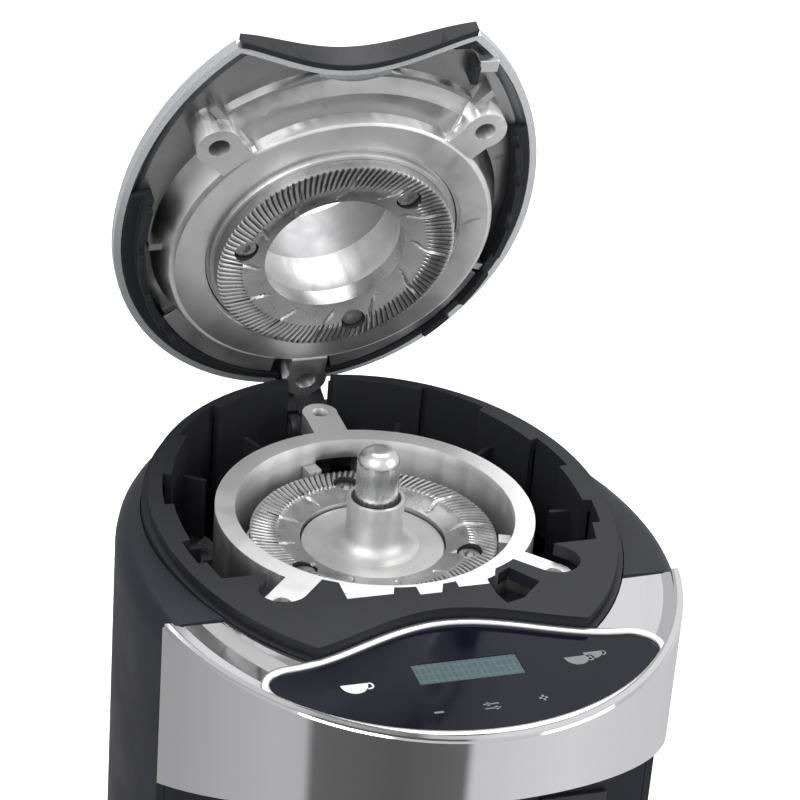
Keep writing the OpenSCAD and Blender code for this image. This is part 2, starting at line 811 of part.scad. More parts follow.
module power_rocker() color("#1c1d20") ground() translate(rocker_at) rotate([rocker_tilt, 0, 0]) difference() {
    rod_x(10.4, -6.5, 6.5);
    for (s = [-1, 1]) translate([0, -7, 0]) rotate([s * rocker_tilt, 0, 0])
        box(-8, 8, -20, 0, s > 0 ? 0 : -20, s > 0 ? 20 : 0);
}

base_plate();
bottom_cover();
rubber_feet();
base_screws();
housing();
front_panel();
rear_grille();
front_cover();
head_floor();
touch_panel();
panel_symbols();
lcd_module();
control_board();
collar();
chamber();
shaft_seal();
motor_plate();
motor_posts();
motor_can();
stator_core();
stator_windings();
lower_bell();
upper_bearing();
lower_bearing();
motor_bolts();
chamber_bolts();
grounds_chute();
outlet_spout();
fork_rail();
dose_switch();
rocker_frame();
power_inlet();
power_board();
capacitor();
hinge_bracket();
hinge_pin();
motor_rotor();
shaft();
cooling_fan();
burr_carrier();
lower_burr();
lower_burr_screws();
spindle_tip();
lid_cover();
lid_casting();
lid_liner();
hopper_neck();
hinge_arm();
lid_screws();
upper_carrier();
upper_burr();
upper_burr_screws();
grind_dial();
fork_holder();
portafilter_fork();
fork_sleeves();
fork_knob();
dose_button();
power_rocker();
drip_tray();
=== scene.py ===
import json
import math

import bmesh
import bpy
from mathutils import Matrix, Vector


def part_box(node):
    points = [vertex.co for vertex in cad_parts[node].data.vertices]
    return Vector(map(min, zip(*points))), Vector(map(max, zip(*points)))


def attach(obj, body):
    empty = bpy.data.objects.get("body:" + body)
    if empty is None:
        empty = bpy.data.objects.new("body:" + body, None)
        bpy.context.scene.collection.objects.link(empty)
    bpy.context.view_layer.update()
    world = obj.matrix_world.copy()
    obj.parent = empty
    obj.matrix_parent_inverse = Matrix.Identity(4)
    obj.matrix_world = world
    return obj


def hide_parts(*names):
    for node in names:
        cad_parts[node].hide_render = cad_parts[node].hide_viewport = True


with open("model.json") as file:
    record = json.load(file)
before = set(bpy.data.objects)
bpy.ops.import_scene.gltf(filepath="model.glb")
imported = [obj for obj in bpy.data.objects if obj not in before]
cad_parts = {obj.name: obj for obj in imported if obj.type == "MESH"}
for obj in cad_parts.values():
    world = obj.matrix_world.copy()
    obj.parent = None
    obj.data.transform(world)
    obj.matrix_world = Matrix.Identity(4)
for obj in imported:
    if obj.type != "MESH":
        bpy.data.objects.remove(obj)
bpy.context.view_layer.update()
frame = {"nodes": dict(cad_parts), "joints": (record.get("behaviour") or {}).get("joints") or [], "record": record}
NODES = frame["nodes"]
RECORD = frame["record"]
JOINTS = {j["name"]: j for j in frame["joints"]}
BODY_OF = {n: b for b, names in RECORD["behaviour"]["bodies"].items() for n in names}
SLOT_OF = {s["node"]: s["material_slot"] for s in RECORD["subparts"]}

# ------------------------------------------------------------------ places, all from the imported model
low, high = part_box("lower_burr")
RING_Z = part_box("chamber")[1].z
RING = Vector(((low.x + high.x) / 2, (low.y + high.y) / 2, RING_Z))
HINGE = Vector(JOINTS["lid_hinge"]["pos_m"])
OPEN = math.radians(JOINTS["lid_hinge"]["range_deg"][1])
LID_TURN = Matrix.Translation(HINGE) @ Matrix.Rotation(-OPEN, 4, "X") @ Matrix.Translation(-HINGE)
MM = 0.001
# Vertices nearer than this, in metres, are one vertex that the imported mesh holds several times
SAME_PLACE = 0.00001


def head_matrix(opened=False):
    """From millimetres round the spindle's axis at the chamber's top, to the row frame."""
    place = Matrix.Translation(RING) @ Matrix.Scale(MM, 4)
    return LID_TURN @ place if opened else place


# ------------------------------------------------------------------ camera
def set_camera():
    """The photo's camera, placed from the chamber's top."""
    azimuth, elevation, roll = math.radians(-19.57), math.radians(28.84), math.radians(4.61)
    distance, across, above = 1.0005, 0.00822, 0.03646
    level = math.cos(elevation)
    back = Vector((math.sin(azimuth) * level, -math.cos(azimuth) * level, math.sin(elevation)))
    right = Vector((math.cos(azimuth), math.sin(azimuth), 0))
    up = back.cross(right)
    r = right * math.cos(roll) + up * math.sin(roll)
    u = up * math.cos(roll) - right * math.sin(roll)
    data = bpy.data.cameras.new("camera")
    data.sensor_width = 36
    data.lens = 135.1
    data.clip_end = 50
    camera = bpy.data.objects.new("camera", data)
    bpy.context.scene.collection.objects.link(camera)
    p = RING + back * distance + r * across + u * above
    camera.matrix_world = Matrix((
        (r.x, u.x, back.x, p.x), (r.y, u.y, back.y, p.y), (r.z, u.z, back.z, p.z), (0, 0, 0, 1)))
    bpy.context.scene.camera = camera


set_camera()


# ------------------------------------------------------------------ node trees
class Tree:
    """A short way to build a node tree."""

    def __init__(self, tree):
        self.tree = tree
        self.tree.nodes.clear()

    def add(self, kind):
        return self.tree.nodes.new(kind)

    def link(self, a, b):
        self.tree.links.new(a, b)

    def math(self, kind, *values):
        m = self.add("ShaderNodeMath")
        m.operation = kind
        for socket, v in zip(m.inputs, values):
            if hasattr(v, "links"):
                self.link(v, socket)
            else:
                socket.default_value = v
        return m.outputs[0]

    def blend(self, a, b, share):
        """This share of a, and the rest of b."""
        return self.math("ADD", self.math("MULTIPLY", a, share), self.math("MULTIPLY", b, 1 - share))

    def length(self, x, y):
        squares = self.math("MULTIPLY", x, x), self.math("MULTIPLY", y, y)
        return self.math("SQRT", self.math("ADD", *squares))

    def split(self, vector):
        s = self.add("ShaderNodeSeparateXYZ")
        self.link(vector, s.inputs[0])
        return s.outputs

    def ramp(self, fac, stops):
        r = self.add("ShaderNodeValToRGB")
        while len(r.color_ramp.elements) > 1:
            r.color_ramp.elements.remove(r.color_ramp.elements[-1])
        for i, (pos, colour) in enumerate(stops):
            e = r.color_ramp.elements[0] if i == 0 else r.color_ramp.elements.new(pos)
            e.position = pos
            e.color = (*colour, 1) if hasattr(colour, "__len__") else (colour, colour, colour, 1)
        self.link(fac, r.inputs[0])
        return r.outputs[0]


class Nodes(Tree):
    """One material's node tree, round a Principled shader."""

    def __init__(self, name):
        self.mat = bpy.data.materials.new(name)
        self.mat.use_nodes = True
        super().__init__(self.mat.node_tree)
        self.bsdf = self.add("ShaderNodeBsdfPrincipled")
        self.link(self.bsdf.outputs[0], self.add("ShaderNodeOutputMaterial").inputs[0])
        self.coord = self.add("ShaderNodeTexCoord").outputs["Object"]

    def placed(self, centre, turn=0.0, scale=(1, 1, 1)):
        """Coordinates from a centre, along axes turned about X, in units of the scale."""
        m = self.add("ShaderNodeMapping")
        m.vector_type = "TEXTURE"
        m.inputs["Location"].default_value = centre
        m.inputs["Rotation"].default_value = (turn, 0, 0)
        m.inputs["Scale"].default_value = scale
        self.link(self.coord, m.inputs[0])
        return m.outputs[0]

    def noise(self, scale, detail=4.0, rough=0.55, vector=None):
        n = self.add("ShaderNodeTexNoise")
        n.inputs["Scale"].default_value = scale
        n.inputs["Detail"].default_value = detail
        n.inputs["Roughness"].default_value = rough
        self.link(vector if vector is not None else self.coord, n.inputs["Vector"])
        return n.outputs["Fac"]

    def bump(self, height, strength, distance):
        b = self.add("ShaderNodeBump")
        b.inputs["Strength"].default_value = strength
        b.inputs["Distance"].default_value = distance
        self.link(height, b.inputs["Height"])
        self.link(b.outputs[0], self.bsdf.inputs["Normal"])

    def set(self, **values):
        for key, value in values.items():
            socket = self.bsdf.inputs[key.replace("_", " ")]
            if hasattr(value, "links"):
                self.link(value, socket)
            elif hasattr(value, "__len__"):
                socket.default_value = (*value, 1)
            else:
                socket.default_value = value


# ------------------------------------------------------------------ materials
def tinted(colour, darker, lighter):
    return [tuple(c * darker for c in colour), tuple(c * lighter for c in colour)]


def moulded(name, colour, rough=0.5, grain=900, depth=0.00006, spec=0.5, strength=0.35):
    """Moulded plastic: fine spark-eroded grain, faint handling marks, slight colour drift."""
    n = Nodes(name)
    a, b = tinted(colour, 0.86, 1.16)
    n.set(Base_Color=n.ramp(n.noise(9, 3), [(0.3, a), (0.7, b)]),
          Roughness=n.ramp(n.noise(38, 5), [(0.3, rough - 0.06), (0.72, rough + 0.07)]),
          Specular_IOR_Level=spec)
    n.bump(n.noise(grain, 2), strength, depth)
    return n.mat


def cast(name, colour, rough):
    """Die-cast metal: orange-peel skin, flow marks, small pits."""
    n = Nodes(name)
    flow = n.noise(26, 6, 0.62)
    peel = n.noise(520, 3, 0.6)
    a, b = tinted(colour, 0.74, 1.14)
    n.set(Base_Color=n.ramp(flow, [(0.3, a), (0.68, b)]), Metallic=1.0,
          Roughness=n.ramp(n.noise(64, 5, 0.6), [(0.3, rough - 0.1), (0.7, rough + 0.1)]))
    n.bump(n.math("ADD", n.math("MULTIPLY", peel, 0.6), n.math("MULTIPLY", flow, 1.2)), 0.5, 0.00018)
    return n.mat


# Millimetres of height that the depth-shaded castings' colour ramp covers, half of them over the chamber's top
RAMP_SPAN = 100


def cast_with_depth_shade(name, opened, stops, rough):
    """Cast aluminium coloured by height in millimetres: light on its machined faces, and darker down in its depths
    as painted shade.
    """
    n = Nodes(name)
    centre, turn = (LID_TURN @ RING, -OPEN) if opened else (RING, 0)
    height = n.math("MULTIPLY_ADD", n.split(n.placed(centre, turn))[2], 1 / (RAMP_SPAN * MM), 0.5)
    drift = n.math("MULTIPLY_ADD", n.noise(30, 5, 0.6), 0.1, -0.05)
    # The height ramp paints shade over the metal: darker the deeper the surface lies
    n.set(Base_Color=n.ramp(n.math("ADD", height, drift),
                            [(z / RAMP_SPAN + 0.5, (v, v, v * 0.995)) for z, v in stops]),
          Metallic=1.0,
          Roughness=n.ramp(n.noise(64, 5, 0.6), [(0.3, rough - 0.08), (0.7, rough + 0.1)]))
    n.bump(n.noise(480, 3, 0.6), 0.35, 0.00012)
    return n.mat


def machined(name, colour, rough=0.28, rings=1500, depth=0.00002):
    """Turned metal: fine rings about the spindle's axis."""
    n = Nodes(name)
    x, y, z = n.split(n.placed(RING))
    round_axis = n.add("ShaderNodeCombineXYZ")
    n.link(n.length(x, y), round_axis.inputs[0])
    n.link(z, round_axis.inputs[1])
    lines = n.noise(rings, 2, 0.5, round_axis.outputs[0])
    broad = n.noise(40, 4, 0.6)
    a, b = tinted(colour, 0.82, 1.12)
    n.set(Base_Color=n.ramp(n.blend(lines, broad, 0.6), [(0.32, a), (0.68, b)]), Metallic=1.0,
          Roughness=n.ramp(n.blend(lines, broad, 0.55), [(0.3, rough - 0.08), (0.7, rough + 0.1)]))
    n.bump(lines, 0.4, depth)
    return n.mat


def smeared(n, colour):
    """A plated metal's colour with faint smears, and the smears' own noise."""
    smear = n.noise(14, 5, 0.6)
    return n.ramp(smear, [(0.25, tuple(c * 0.97 for c in colour)), (0.75, colour)]), smear


def polished(name, colour, rough, wear):
    """Plated metal: near-mirror, with faint smears and hairline scratches."""
    n = Nodes(name)
    tint, smear = smeared(n, colour)
    along = n.add("ShaderNodeMapping")
    along.inputs["Scale"].default_value = (1, 22, 1)
    along.inputs["Rotation"].default_value = (0, 0, 0.5)
    n.link(n.coord, along.inputs[0])
    scratches = n.noise(60, 3, 0.6, along.outputs[0])
    n.set(Base_Color=tint, Metallic=1.0,
          Roughness=n.ramp(n.blend(smear, scratches, 0.6), [(0.3, rough), (0.75, rough + wear)]))
    n.bump(n.noise(9, 2), 0.06, 0.0004)
    return n.mat


# The oval that the deck's dip follows: its centre from the spindle's axis, and its half-width and half-depth
DECK_CENTRE = Vector((0, -0.026, 0))
DECK_OVAL = (0.090, 0.110, 1)


def front_chrome(name, colour):
    """Polished plate whose deck dips a little between its lip and the collar."""
    n = Nodes(name)
    x, y = n.split(n.placed(RING + DECK_CENTRE, scale=DECK_OVAL))[:2]
    dip = n.ramp(n.length(x, y), [(0.72, 1.0), (0.80, 0.62), (0.87, 0.5), (0.93, 0.6), (0.975, 1.0)])
    n.set(Base_Color=smeared(n, colour)[0], Metallic=1.0,
          Roughness=n.ramp(n.noise(30, 4), [(0.3, 0.05), (0.75, 0.1)]))
    n.bump(n.math("ADD", dip, n.math("MULTIPLY", n.noise(11, 2), 0.14)), 1.0, 0.0022)
    return n.mat


# Where the display's rows of character cells start, from the spindle's axis
CELLS_START = Vector((-0.015, -0.1012, 0))


def display(name, colour):
    """A dim liquid-crystal display with two faint rows of empty character cells."""
    n = Nodes(name)
    cells = n.add("ShaderNodeTexBrick")
    cells.offset = 0
    cells.inputs["Scale"].default_value = 1
    cells.inputs["Brick Width"].default_value = 0.00188
    cells.inputs["Row Height"].default_value = 0.0036
    cells.inputs["Mortar Size"].default_value = 0.0004
    for socket, light in (("Color1", 0.72), ("Color2", 0.8), ("Mortar", 1)):
        cells.inputs[socket].default_value = (*[c * light for c in colour], 1)
    n.link(n.placed(RING + CELLS_START), cells.inputs["Vector"])
    n.set(Base_Color=cells.outputs["Color"], Roughness=n.ramp(n.noise(300, 2), [(0.3, 0.22), (0.7, 0.3)]),
          Specular_IOR_Level=0.3)
    n.bump(n.noise(900, 2), 0.1, 0.00001)
    return n.mat


def burr_metal(name, colour):
    """Hardened, ground steel with a slight tarnish."""
    n = Nodes(name)
    a, b = tinted(colour, 0.78, 1.12)
    n.set(Base_Color=n.ramp(n.noise(55, 5, 0.6), [(0.3, a), (0.7, b)]), Metallic=1.0,
          Roughness=n.ramp(n.noise(220, 4, 0.6), [(0.3, 0.24), (0.7, 0.4)]))
    n.bump(n.noise(1400, 2), 0.15, 0.00002)
    return n.mat


def lacquered(name, colour):
    """Metallic lacquer: fine flake under a clear coat."""
    n = Nodes(name)
    flake = n.noise(2600, 2)
    a, b = tinted(colour, 0.86, 1.14)
    n.set(Base_Color=n.ramp(flake, [(0.35, a), (0.65, b)]), Metallic=0.65,
          Roughness=n.ramp(n.noise(22, 4), [(0.3, 0.29), (0.7, 0.40)]),
          Coat_Weight=0.25, Coat_Roughness=0.12)
    n.bump(flake, 0.12, 0.00003)
    return n.mat


MATERIALS = {
    "black_housing": moulded("housing_black", (0.0125, 0.0132, 0.0185), 0.42, 700, 0.00004, 0.2, 0.2),
    "black_collar": moulded("collar_black", (0.0155, 0.016, 0.0195), 0.5, 1000, 0.00006, 0.2),
    "black_liner": moulded("liner_black", (0.014, 0.0145, 0.0175), 0.5, 1000, 0.00006, 0.25),
    "chrome_front": front_chrome("front_chrome", (0.80, 0.80, 0.81)),
    "panel_glass": moulded("panel_glass", (0.004, 0.0045, 0.010), 0.1, 300, 0.000004, 0.24, 0.05),
    "panel_print": moulded("panel_print", (0.75, 0.78, 0.8), 0.4, 900, 0.00001),
    "lcd": display("lcd_cells", (0.06, 0.098, 0.105)),
    "cast_aluminium": cast("aluminium_cast", (0.68, 0.68, 0.675), 0.5),
    "machined_steel": machined("steel_turned", (0.55, 0.55, 0.55)),
    "burr_steel": burr_metal("burr_steel", (0.52, 0.52, 0.52)),
    "polished_steel": polished("steel_polished", (0.74, 0.74, 0.75), 0.25, 0.1),
    "fasteners": machined("fastener_zinc", (0.42, 0.42, 0.43), 0.3, 900),
    "lid_metal": lacquered("lid_lacquer", (0.60, 0.61, 0.63)),
    "base_metal": moulded("base_powder", (0.013, 0.0135, 0.017), 0.5, 800, 0.0001, 0.5, 0.5),
    "sheet_steel": machined("steel_sheet", (0.42, 0.42, 0.43), 0.36, 700),
    "rubber": moulded("rubber", (0.014, 0.014, 0.014), 0.75, 500, 0.0001, 0.3, 0.5),
    "control_plastic": moulded("control_black", (0.017, 0.0175, 0.02), 0.48, 1000, 0.00006),
    "motor_iron": cast("motor_iron", (0.16, 0.16, 0.165), 0.55),
    "copper": machined("winding_copper", (0.5, 0.2, 0.07), 0.38, 1800, 0.0001),
    "board": moulded("board_green", (0.02, 0.09, 0.04), 0.4, 400, 0.00003),
}
# Nodes whose material isn't their slot's. Each stop is a height in millimetres and a grey: the greys paint shade
# that darkens the lid casting and the chamber down into their depths.
LID_SHADE_STOPS = [(-2, 0.88), (1, 0.86), (2.5, 0.66), (8, 0.47), (13, 0.38), (24, 0.36)]
CHAMBER_SHADE_STOPS = [(-30, 0.4), (-4, 0.55), (-0.6, 0.8), (1, 0.84)]
OWN_FINISH_AND_SHADE = {
    # The lid casting and the chamber carry painted shade, darker with depth
    "lid_casting": cast_with_depth_shade("aluminium_lid_depth_shade", True, LID_SHADE_STOPS, 0.36),
    "chamber": cast_with_depth_shade("aluminium_chamber_depth_shade", False, CHAMBER_SHADE_STOPS, 0.46),
    # The neck's cast aluminium is a darker grey that paints the throat's shade
    "hopper_neck": cast("aluminium_neck_painted_shade", (0.40, 0.40, 0.405), 0.56),
}
# Finishes of new pieces, and the painted shade for the burrs' grooves and screw holes
BEAD_CHROME = polished("bead_chrome", (0.9, 0.9, 0.9), 0.3, 0.08)
# A near-black that paints the shade down in the burrs' grooves and screw holes
GROOVE_PAINTED_SHADE = moulded("burr_shadow", (0.03, 0.03, 0.031), 0.5, 900, 0.00003, 0.3)
LEDGE_CAST = cast("aluminium_ledge", (0.62, 0.62, 0.625), 0.5)
PRINT_LIT = moulded("print_lit", (0.62, 0.65, 0.67), 0.4, 900, 0.00001, 0.3)
PRINT_DIM = moulded("print_dim", (0.16, 0.165, 0.17), 0.4, 900, 0.00001, 0.3)

for name, node in NODES.items():
    node.data.materials.clear()
    node.data.materials.append(OWN_FINISH_AND_SHADE.get(name, MATERIALS[SLOT_OF[name]]))


# ------------------------------------------------------------------ edges of the carried-over nodes
def soften(obj, width):
    """Gives a node's sharp edges a small round of this width in metres."""
    weld = obj.modifiers.new("weld", "WELD")
    weld.merge_threshold = 0.00002
    bevel = obj.modifiers.new("bevel", "BEVEL")
    bevel.width = width
    bevel.segments = 2
    bevel.limit_method = "ANGLE"
    bevel.angle_limit = math.radians(32)
    bevel.harden_normals = True
    bevel.use_clamp_overlap = True


def smooth_group():
    """Joins the vertices of a node's triangles and shades it smoothly up to its real edges."""
    g = bpy.data.node_groups.new("smooth_surfaces", "GeometryNodeTree")
    g.interface.new_socket("Geometry", in_out="INPUT", socket_type="NodeSocketGeometry")
    g.interface.new_socket("Geometry", in_out="OUTPUT", socket_type="NodeSocketGeometry")
    start, end = g.nodes.new("NodeGroupInput"), g.nodes.new("NodeGroupOutput")
    merge = g.nodes.new("GeometryNodeMergeByDistance")
    merge.inputs["Distance"].default_value = SAME_PLACE
    angle = g.nodes.new("GeometryNodeInputMeshEdgeAngle")
    above = g.nodes.new("FunctionNodeCompare")
    above.operation = "GREATER_THAN"
    above.inputs[1].default_value = math.radians(28)
    sharp, faces = g.nodes.new("GeometryNodeSetShadeSmooth"), g.nodes.new("GeometryNodeSetShadeSmooth")
    sharp.domain = "EDGE"
    sharp.inputs["Shade Smooth"].default_value = False
    g.links.new(start.outputs[0], merge.inputs["Geometry"])
    g.links.new(merge.outputs[0], faces.inputs["Geometry"])
    g.links.new(faces.outputs[0], sharp.inputs["Geometry"])
    g.links.new(angle.outputs["Unsigned Angle"], above.inputs[0])
    g.links.new(above.outputs[0], sharp.inputs["Selection"])
    g.links.new(sharp.outputs[0], end.inputs[0])
    return g


SMOOTH = smooth_group()


def smooth(obj):
    obj.modifiers.new("smooth", "NODES").node_group = SMOOTH


for name in ("front_cover", "lid_cover", "hopper_neck", "outlet_spout"):
    smooth(NODES[name])

EDGES = {
    "collar": 0.0007, "chamber": 0.0006, "lid_casting": 0.0007, "lid_liner": 0.0004,
    "burr_carrier": 0.0004, "upper_carrier": 0.0004, "base_plate": 0.0012, "rear_grille": 0.0003,
    "fork_holder": 0.0012, "fork_rail": 0.0005, "drip_tray": 0.0006, "power_inlet": 0.0005,
    "rocker_frame": 0.0006, "dose_button": 0.0008, "dose_switch": 0.0008, "power_rocker": 0.0005,
    "hopper_neck": 0.0006, "grind_dial": 0.0008, "hinge_bracket": 0.0004, "hinge_arm": 0.0004,
    "outlet_spout": 0.0005, "fork_knob": 0.0005, "spindle_tip": 0.0003,
}
for name, width in EDGES.items():
    soften(NODES[name], width)


# ------------------------------------------------------------------ helpers for new pieces
def mesh_object(name, points, faces, body, material):
    """A new piece on a body, with its faces turned outward."""
    mesh = bpy.data.meshes.new(name)
    mesh.from_pydata([tuple(p) for p in points], [], faces)
    work = bmesh.new()
    work.from_mesh(mesh)
    bmesh.ops.recalc_face_normals(work, faces=work.faces)
    work.to_mesh(mesh)
    work.free()
    mesh.materials.append(material)
    obj = bpy.data.objects.new(name, mesh)
    bpy.context.scene.collection.objects.link(obj)
    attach(obj, body)
    return obj


def grid_faces(rows, columns, join_rows=False, join_columns=True):
    """Faces between rows of points; a joined direction runs from its last point to its first."""
    return [(i * columns + c, i * columns + (c + 1) % columns,
             (i + 1) % rows * columns + (c + 1) % columns, (i + 1) % rows * columns + c)
            for i in range(rows if join_rows else rows - 1)
            for c in range(columns if join_columns else columns - 1)]


def arc(cx, cy, r, a0, a1, steps=14, ry=None):
    span = [math.radians(a0 + (a1 - a0) * i / steps) for i in range(steps + 1)]
    return [(cx + r * math.cos(a), cy + (ry or r) * math.sin(a)) for a in span]


def round_edges(obj, width, segments):
    bevel = obj.modifiers.new("edge", "BEVEL")
    bevel.width, bevel.segments = width, segments


def cut_away(obj, cutters):
    """Takes the cutters' shapes out of a new piece for good."""
    for c in cutters:
        m = obj.modifiers.new("cut", "BOOLEAN")
        m.operation, m.solver, m.object = "DIFFERENCE", "EXACT", c
        m.material_mode = "TRANSFER"
    bpy.context.view_layer.update()
    graph = bpy.context.evaluated_depsgraph_get()
    mesh = bpy.data.meshes.new_from_object(obj.evaluated_get(graph))
    obj.modifiers.clear()
    obj.data = mesh
    for c in cutters:
        bpy.data.objects.remove(c)


# ------------------------------------------------------------------ housing
# Metres behind the housing's front plane within which a point belongs to a cut front edge
FRONT_MARGIN = 0.00005


def housing_shell():
    """The housing with each of its two cut front edges as one clean face, on the CAD node's own surface."""
    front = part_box("housing")[0].y
    work = bmesh.new()
    work.from_mesh(NODES["housing"].data)
    bmesh.ops.remove_doubles(work, verts=work.verts, dist=SAME_PLACE)

    def at_front(part):
        return all(v.co.y < front + FRONT_MARGIN for v in part.verts)

    bmesh.ops.delete(work, geom=[f for f in work.faces if at_front(f)], context="FACES_ONLY")
    rim = [e for e in work.edges if len(e.link_faces) == 1 and at_front(e)]
    bmesh.ops.holes_fill(work, edges=rim)
    work.verts.index_update()
    points, faces = [v.co for v in work.verts], [[v.index for v in f.verts] for f in work.faces]
    obj = mesh_object("housing_shell", points, faces, BODY_OF["housing"], MATERIALS["black_housing"])
    work.free()
    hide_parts("housing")
    smooth(obj)


housing_shell()

# ------------------------------------------------------------------ burrs, in millimetres and degrees
TEETH = 120
BREAKERS = 12
# Radius of each row across the face, and how deep the burr's face lies there
FACE = [(24.6, 2.4), (25.2, 2.2), (26.4, 1.9), (27.6, 1.55), (28.6, 1.25), (29.6, 0.95), (30.4, 0.7),
        (31.2, 0.48), (32, 0.3), (32.8, 0.13), (33.6, 0.01), (34.6, 0), (36, 0), (37.6, 0), (39.4, 0),
        (40.9, 0), (41.5, 0.25)]
# Where each tooth's points lie along it, and how deep they are: a land, a slope and a drop
PROFILE = [(0, 0), (0.40, 0), (0.62, 0.6), (0.80, 1), (0.90, 0.95)]
TOOTH_DEPTH = 0.65
# The teeth start at this radius, and reach their full depth this much further out
TEETH_START, TEETH_FADE = 31.6, 3.6
# The wide feed grooves: their depth, half their width, and the radii where they start, stop bending and end
BREAKER_DEPTH, BREAKER_HALF = 0.8, 0.65
BREAKER_START, BREAKER_STRAIGHT, BREAKER_END = 27, 33.5, 38
# Every point turns by LEAN for each millimetre outside this radius, which is also the screws' circle
LEAN = 0.5
MIDDLE = 33
BACK_DEPTH = 9
# Height of the upper burr's face over the chamber's top, with the lid shut
UPPER_FACE = -5.7
# The first row of faces painted near-black as groove shade, and the share of a tooth's depth that such a face lies
# below
SHADE_ROW, SHADE_SHARE = 9, 0.5


def point_depth(r, share, angle):
    """How deep a point lies under the burr's face: in a tooth's groove, or in a feed groove."""
    depth = TOOTH_DEPTH * min(1, max(0, (r - TEETH_START) / TEETH_FADE)) * share
    step = 360 / BREAKERS
    bend = 7 * ((BREAKER_STRAIGHT - min(r, BREAKER_STRAIGHT)) / 7) ** 2
    off = ((angle + bend + step / 2) % step - step / 2) * math.radians(1) * r
    if BREAKER_START < r < BREAKER_END:
        ends = min(1, r - BREAKER_START, (BREAKER_END - r) / 3)
        depth = max(depth, BREAKER_DEPTH * ends * max(0, 1 - (off / BREAKER_HALF) ** 2))
    return depth


def burr(name, node, screws, opened):
    """A toothed burr: the lower one faces up, and the upper one faces down from the lid."""
    place = head_matrix(opened)
    way = 1 if opened else -1
    face = UPPER_FACE if opened else (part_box(node)[1].z - RING_Z) / MM

    def at(r, angle, depth):
        a = math.radians(angle + way * LEAN * (r - MIDDLE))
        return place @ Vector((r * math.cos(a), r * math.sin(a), face + way * depth))

    around = [((k + u) * 360 / TEETH, share) for k in range(TEETH) for u, share in PROFILE]
    n = len(around)
    points = [at(r, angle, base + point_depth(r, share, angle)) for r, base in FACE for angle, share in around]
    points += [at(r, angle, BACK_DEPTH) for r in (FACE[-1][0], FACE[0][0]) for angle, share in around]
    faces = grid_faces(len(FACE) + 2, n, join_rows=True)
    obj = mesh_object(name, points, faces, BODY_OF[node], MATERIALS["burr_steel"])
    # Faces deep in the teeth's grooves get the near-black material that paints the grooves' shade
    obj.data.materials.append(GROOVE_PAINTED_SHADE)
    for f in obj.data.polygons:
        i, c = divmod(f.index, n)
        if SHADE_ROW <= i < len(FACE) - 2 and min(around[c][1], around[(c + 1) % n][1]) > SHADE_SHARE:
            f.material_index = 1
    cutters = []
    turn = LID_TURN.to_3x3().to_4x4() if opened else Matrix.Identity(4)
    for a in map(math.radians, screws):
        bpy.ops.mesh.primitive_cylinder_add(vertices=40, radius=4.3 * MM, depth=6 * MM)
        c = bpy.context.object
        # The cut screw holes' walls take the same painted shade
        c.data.materials.append(GROOVE_PAINTED_SHADE)
        mid = Vector((MIDDLE * math.cos(a), MIDDLE * math.sin(a), face + way))
        c.matrix_world = Matrix.Translation(place @ mid) @ turn
        cutters.append(c)
    cut_away(obj, cutters)
    obj.data.shade_smooth()
    obj.data.set_sharp_from_angle(angle=math.radians(24))
    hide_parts(node)


burr("lower_burr_toothed", "lower_burr", (90, 210, 330), False)
burr("upper_burr_toothed", "upper_burr", (71, 191, 311), True)

# ------------------------------------------------------------------ bright bead round the touch panel
# The bead's cross-section: distance out from the panel's outline, and height over the chamber's top
BEAD = [(0, 1.1), (0.02, 2.03), (0.5, 2.12), (1.2, 2.17), (1.9, 2.12), (2.43, 2.02), (2.5, 1.02)]
# Centre of the panel's right-hand round tip; the left one mirrors it
TIP_X, TIP_Y = 54.8, -97


def panel_back(x):
    """The touch panel's back edge: a raised middle between two low shoulders, in millimetres."""
    return -73.3 - 15.7 * (1 - math.cos(math.pi * min(abs(x), 57) / 57)) / 2


def panel_outline():
    """The touch panel's outline: its back edge, two round tips and a wide front arc."""
    back = [(x, panel_back(x)) for x in [TIP_X * (2 * i / 60 - 1) for i in range(61)]]
    right = arc(TIP_X, TIP_Y, 8, 90, -40.4)[1:-1]
    front = arc(0, -50.3, 80, -40.4, -139.6, 60)[1:-1]
    left = arc(-TIP_X, TIP_Y, 8, 220.4, 90)[1:-1]
    return back + right + front + left


def panel_bead():
    line = panel_outline()
    n = len(line)
    place = head_matrix()
    points = []
    for i, (x, y) in enumerate(line):
        (x0, y0), (x1, y1) = line[i - 1], line[(i + 1) % n]
        out = Vector((y0 - y1, x1 - x0)).normalized()
        points += [place @ Vector((x + out.x * d, y + out.y * d, z)) for d, z in BEAD]
    faces = grid_faces(n, len(BEAD), join_rows=True, join_columns=False)
    obj = mesh_object("panel_bead", points, faces, "grinder_body", BEAD_CHROME)
    obj.data.shade_smooth()


panel_bead()


# ------------------------------------------------------------------ latch in the lid's front corner
def lid_block(name, low_mm, high_mm, material, edge):
    """A small block in the lid with worn edges, given by two corners in millimetres with the lid shut."""
    place = head_matrix(True)
    (x0, y0, z0), (x1, y1, z1) = low_mm, high_mm
    corners = (x0, y0), (x1, y0), (x1, y1), (x0, y1)
    points = [place @ Vector((x, y, z)) for z in (z0, z1) for x, y in corners]
    faces = [(0, 1, 2, 3), (4, 5, 6, 7)] + grid_faces(2, 4)
    round_edges(mesh_object(name, points, faces, "lid", material), edge, 3)


BLACK = MATERIALS["black_liner"]
lid_block("latch_plate", (42, -72.5, 9), (49, -67.5, 12.7), MATERIALS["polished_steel"], 0.0004)
lid_block("latch_end", (39.5, -71.5, 7), (42.2, -64, 12.7), BLACK, 0.0005)
lid_block("latch_slot", (33, -80, 11.5), (41, -76, 12.7), BLACK, 0.0003)

# ------------------------------------------------------------------ bare casting beside the lid's boss
# A ledge's inner radius, and its outer oval's half-width, half-depth and centre
LEDGE_INNER = 59.1
LEDGE_OVAL = (64.1, 73.3, -4)
# Its cross-section: whether a corner is on the oval, and the corner's height
LEDGE_SECTION = [(False, 8.2), (True, 7.2), (True, 8.4), (False, 9.4)]
LEDGE_STEPS = 28


